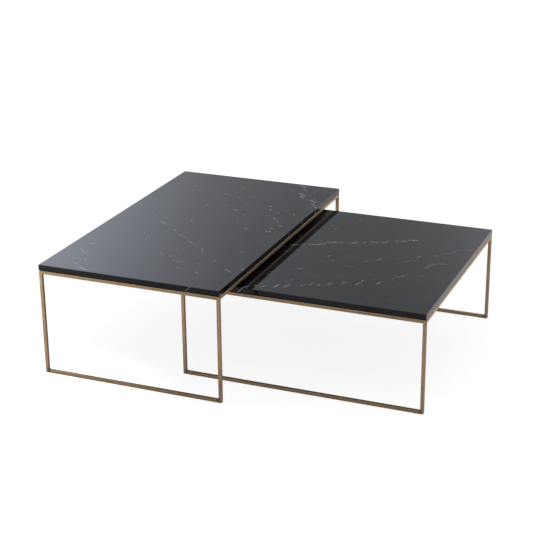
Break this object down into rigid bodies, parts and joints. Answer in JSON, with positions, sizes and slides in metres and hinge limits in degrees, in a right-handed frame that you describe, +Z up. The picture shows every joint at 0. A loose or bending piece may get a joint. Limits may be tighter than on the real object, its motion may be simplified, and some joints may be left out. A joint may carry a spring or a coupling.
{
  "type": "nesting tables",
  "caption": "Nesting coffee tables: a lower square table slides under a taller one; each has a polished black marble slab on a slim bronze sled frame of square tube.",
  "frame": {"origin": "on the floor, midway along and across the pair of tables as they stand partly nested", "axes": "+X runs from the tall table towards the low table, along the way the low one slides out; +Y runs from the front sleds to the back sleds; +Z is up"},
  "size_m": [1.372, 1.2, 0.42],
  "materials": {
    "black_marble": "polished",
    "bronze_frame": "satin",
    "screw_steel": "satin",
    "insert_brass": "satin",
    "pad_rubber": "matte",
    "glide_plastic": "matte"
  },
  "bodies": {
    "tall_table": {"tall_marble_top": "black_marble", "tall_front_floor_rail": "bronze_frame", "tall_back_floor_rail": "bronze_frame", "tall_front_top_rail": "bronze_frame", "tall_back_top_rail": "bronze_frame", "tall_front_left_leg": "bronze_frame", "tall_front_right_leg": "bronze_frame", "tall_back_left_leg": "bronze_frame", "tall_back_right_leg": "bronze_frame", "tall_left_side_rail": "bronze_frame", "tall_right_side_rail": "bronze_frame", "tall_front_cross_rail": "bronze_frame", "tall_back_cross_rail": "bronze_frame", "tall_front_left_gusset": "bronze_frame", "tall_front_right_gusset": "bronze_frame", "tall_back_left_gusset": "bronze_frame", "tall_back_right_gusset": "bronze_frame", "tall_top_screws": "screw_steel", "tall_screw_washers": "screw_steel", "tall_threaded_inserts": "insert_brass", "tall_cushion_pads": "pad_rubber", "tall_floor_glides": "glide_plastic"},
    "low_table": {"low_marble_top": "black_marble", "low_front_floor_rail": "bronze_frame", "low_back_floor_rail": "bronze_frame", "low_front_top_rail": "bronze_frame", "low_back_top_rail": "bronze_frame", "low_front_left_leg": "bronze_frame", "low_front_right_leg": "bronze_frame", "low_back_left_leg": "bronze_frame", "low_back_right_leg": "bronze_frame", "low_left_side_rail": "bronze_frame", "low_right_side_rail": "bronze_frame", "low_front_cross_rail": "bronze_frame", "low_back_cross_rail": "bronze_frame", "low_front_left_gusset": "bronze_frame", "low_front_right_gusset": "bronze_frame", "low_back_left_gusset": "bronze_frame", "low_back_right_gusset": "bronze_frame", "low_top_screws": "screw_steel", "low_screw_washers": "screw_steel", "low_threaded_inserts": "insert_brass", "low_cushion_pads": "pad_rubber", "low_floor_glides": "glide_plastic"}
  },
  "joints": [
    {"name": "nest_slide", "type": "slide", "parent": "tall_table", "child": "low_table", "axis": [1, 0, 0], "range_m": [-0.572, 0.3]}
  ]
}
